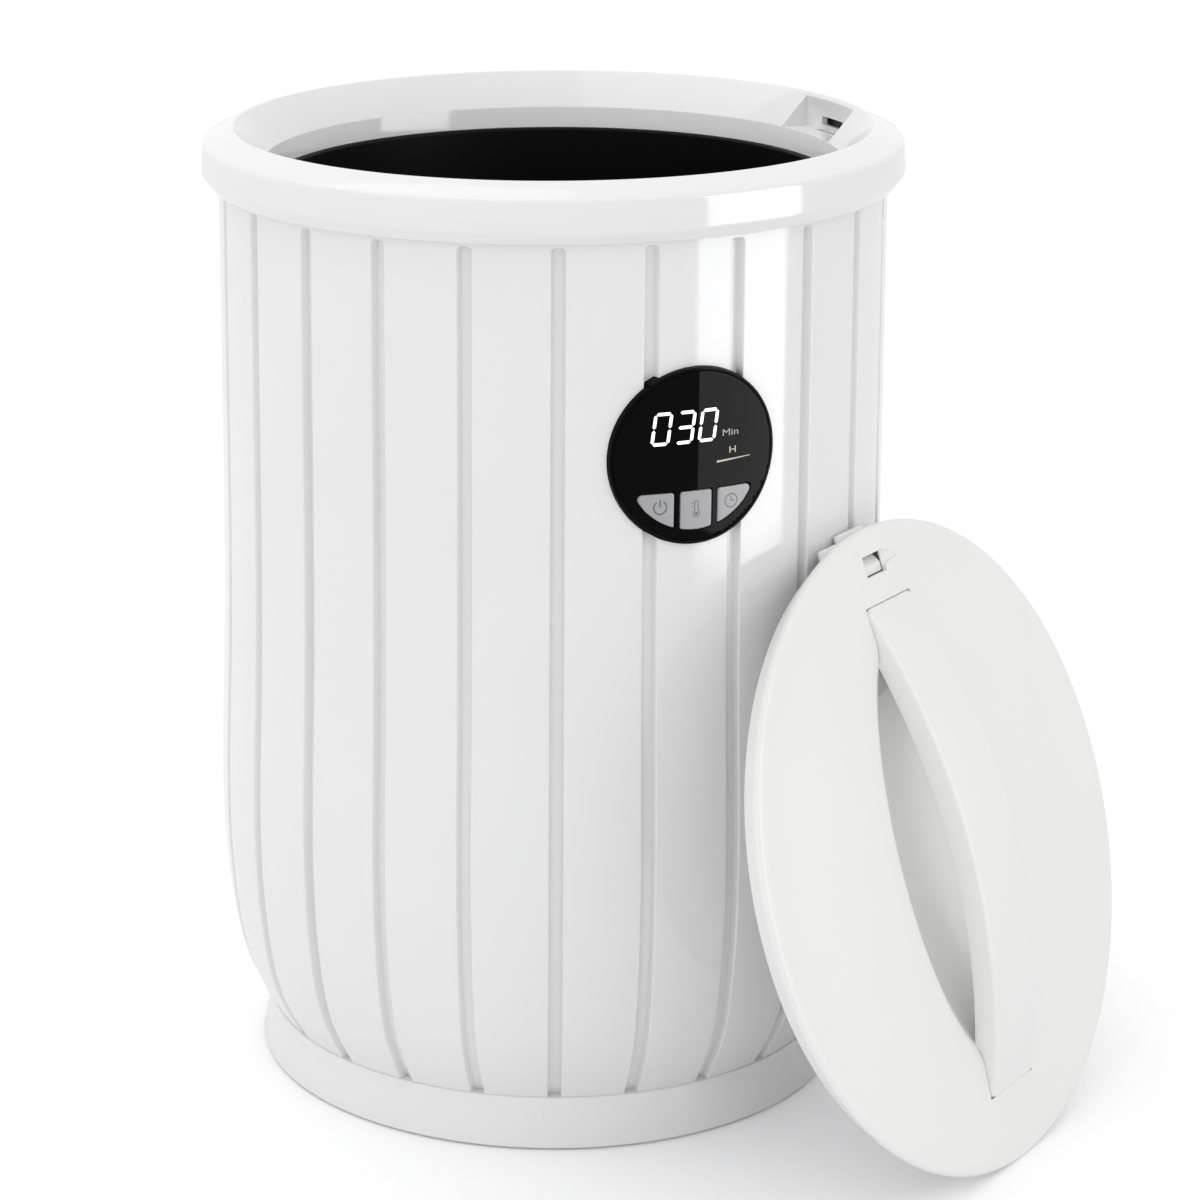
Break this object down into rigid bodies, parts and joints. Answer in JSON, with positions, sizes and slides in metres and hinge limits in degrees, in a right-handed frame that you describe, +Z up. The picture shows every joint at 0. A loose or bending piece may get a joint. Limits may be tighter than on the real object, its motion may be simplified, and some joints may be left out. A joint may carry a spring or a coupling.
{
  "type": "bucket towel warmer",
  "caption": "Round staved white barrel with a heated black liner, sloping rim, curved black control panel with three push keys, and a loose lid with an arched strap handle.",
  "frame": {"origin": "on the barrel's axis, in the plane that the rubber feet stand on", "axes": "+Z up along the barrel's axis; -Y out of the control panel's face; +X towards the latch pocket in the rim"},
  "size_m": [0.4086, 0.4289, 0.4511],
  "materials": {
    "barrel_plastic": "glossy white injection-moulded ABS",
    "lid_plastic": "satin white injection-moulded ABS",
    "base_plastic": "fine-textured white ABS",
    "black_gloss": "gloss black moulded plastic",
    "smoked_window": "tinted acrylic window, printed on the back",
    "key_grey": "satin grey ABS keys",
    "liner_coating": "aluminium with a baked black non-stick coating",
    "zinc_steel": "zinc-plated steel",
    "rubber": "moulded rubber",
    "silicone": "translucent white silicone rubber",
    "foil_heater": "aluminium foil heater",
    "felt": "needled glass-fibre felt",
    "foam": "melamine foam",
    "circuit_board": "glass-epoxy circuit board",
    "component_black": "moulded component bodies",
    "inner_plastic": "natural heat-resistant nylon",
    "wire_cover": "silicone wire sleeve"
  },
  "bodies": {
    "bucket": {"outer_shell": "barrel_plastic", "rim_collar": "barrel_plastic", "base_ring": "barrel_plastic", "base_plate": "base_plastic", "rubber_feet": "rubber", "base_screws": "zinc_steel", "inner_liner": "liner_coating", "liner_clamp_ring": "zinc_steel", "clamp_screws": "zinc_steel", "heater_band": "foil_heater", "insulation_jacket": "felt", "liner_cradle": "inner_plastic", "thermostat": "component_black", "thermal_fuse": "zinc_steel", "ntc_sensor": "component_black", "power_board": "circuit_board", "terminal_block": "inner_plastic", "cord_gland": "base_plastic", "wire_loom": "wire_cover", "control_housing": "black_gloss", "panel_lens": "smoked_window", "display_module": "component_black", "control_board": "circuit_board", "tact_switches": "component_black", "board_posts": "black_gloss"},
    "power_key": {"power_button": "key_grey"},
    "temperature_key": {"temperature_button": "key_grey"},
    "timer_key": {"timer_button": "key_grey"},
    "lid": {"lid_shell": "lid_plastic", "lid_handle": "lid_plastic", "lid_tongue": "lid_plastic", "lid_inner_cover": "base_plastic", "lid_insulation": "foam", "lid_seal": "silicone", "lid_screws": "zinc_steel"}
  },
  "joints": [
    {"name": "power_press", "type": "slide", "parent": "bucket", "child": "power_key", "axis": [0, 1, 0], "range_m": [0, 0.0008], "stiffness_N_per_m": 900, "springref_m": -0.0004},
    {"name": "temperature_press", "type": "slide", "parent": "bucket", "child": "temperature_key", "axis": [0, 1, 0], "range_m": [0, 0.0008], "stiffness_N_per_m": 900, "springref_m": -0.0004},
    {"name": "timer_press", "type": "slide", "parent": "bucket", "child": "timer_key", "axis": [0, 1, 0], "range_m": [0, 0.0008], "stiffness_N_per_m": 900, "springref_m": -0.0004},
    {"name": "lid_lift", "type": "slide", "parent": "bucket", "child": "lid", "axis": [0.5093, -0.8044, 0.3057], "range_m": [0, 0.25]}
  ]
}
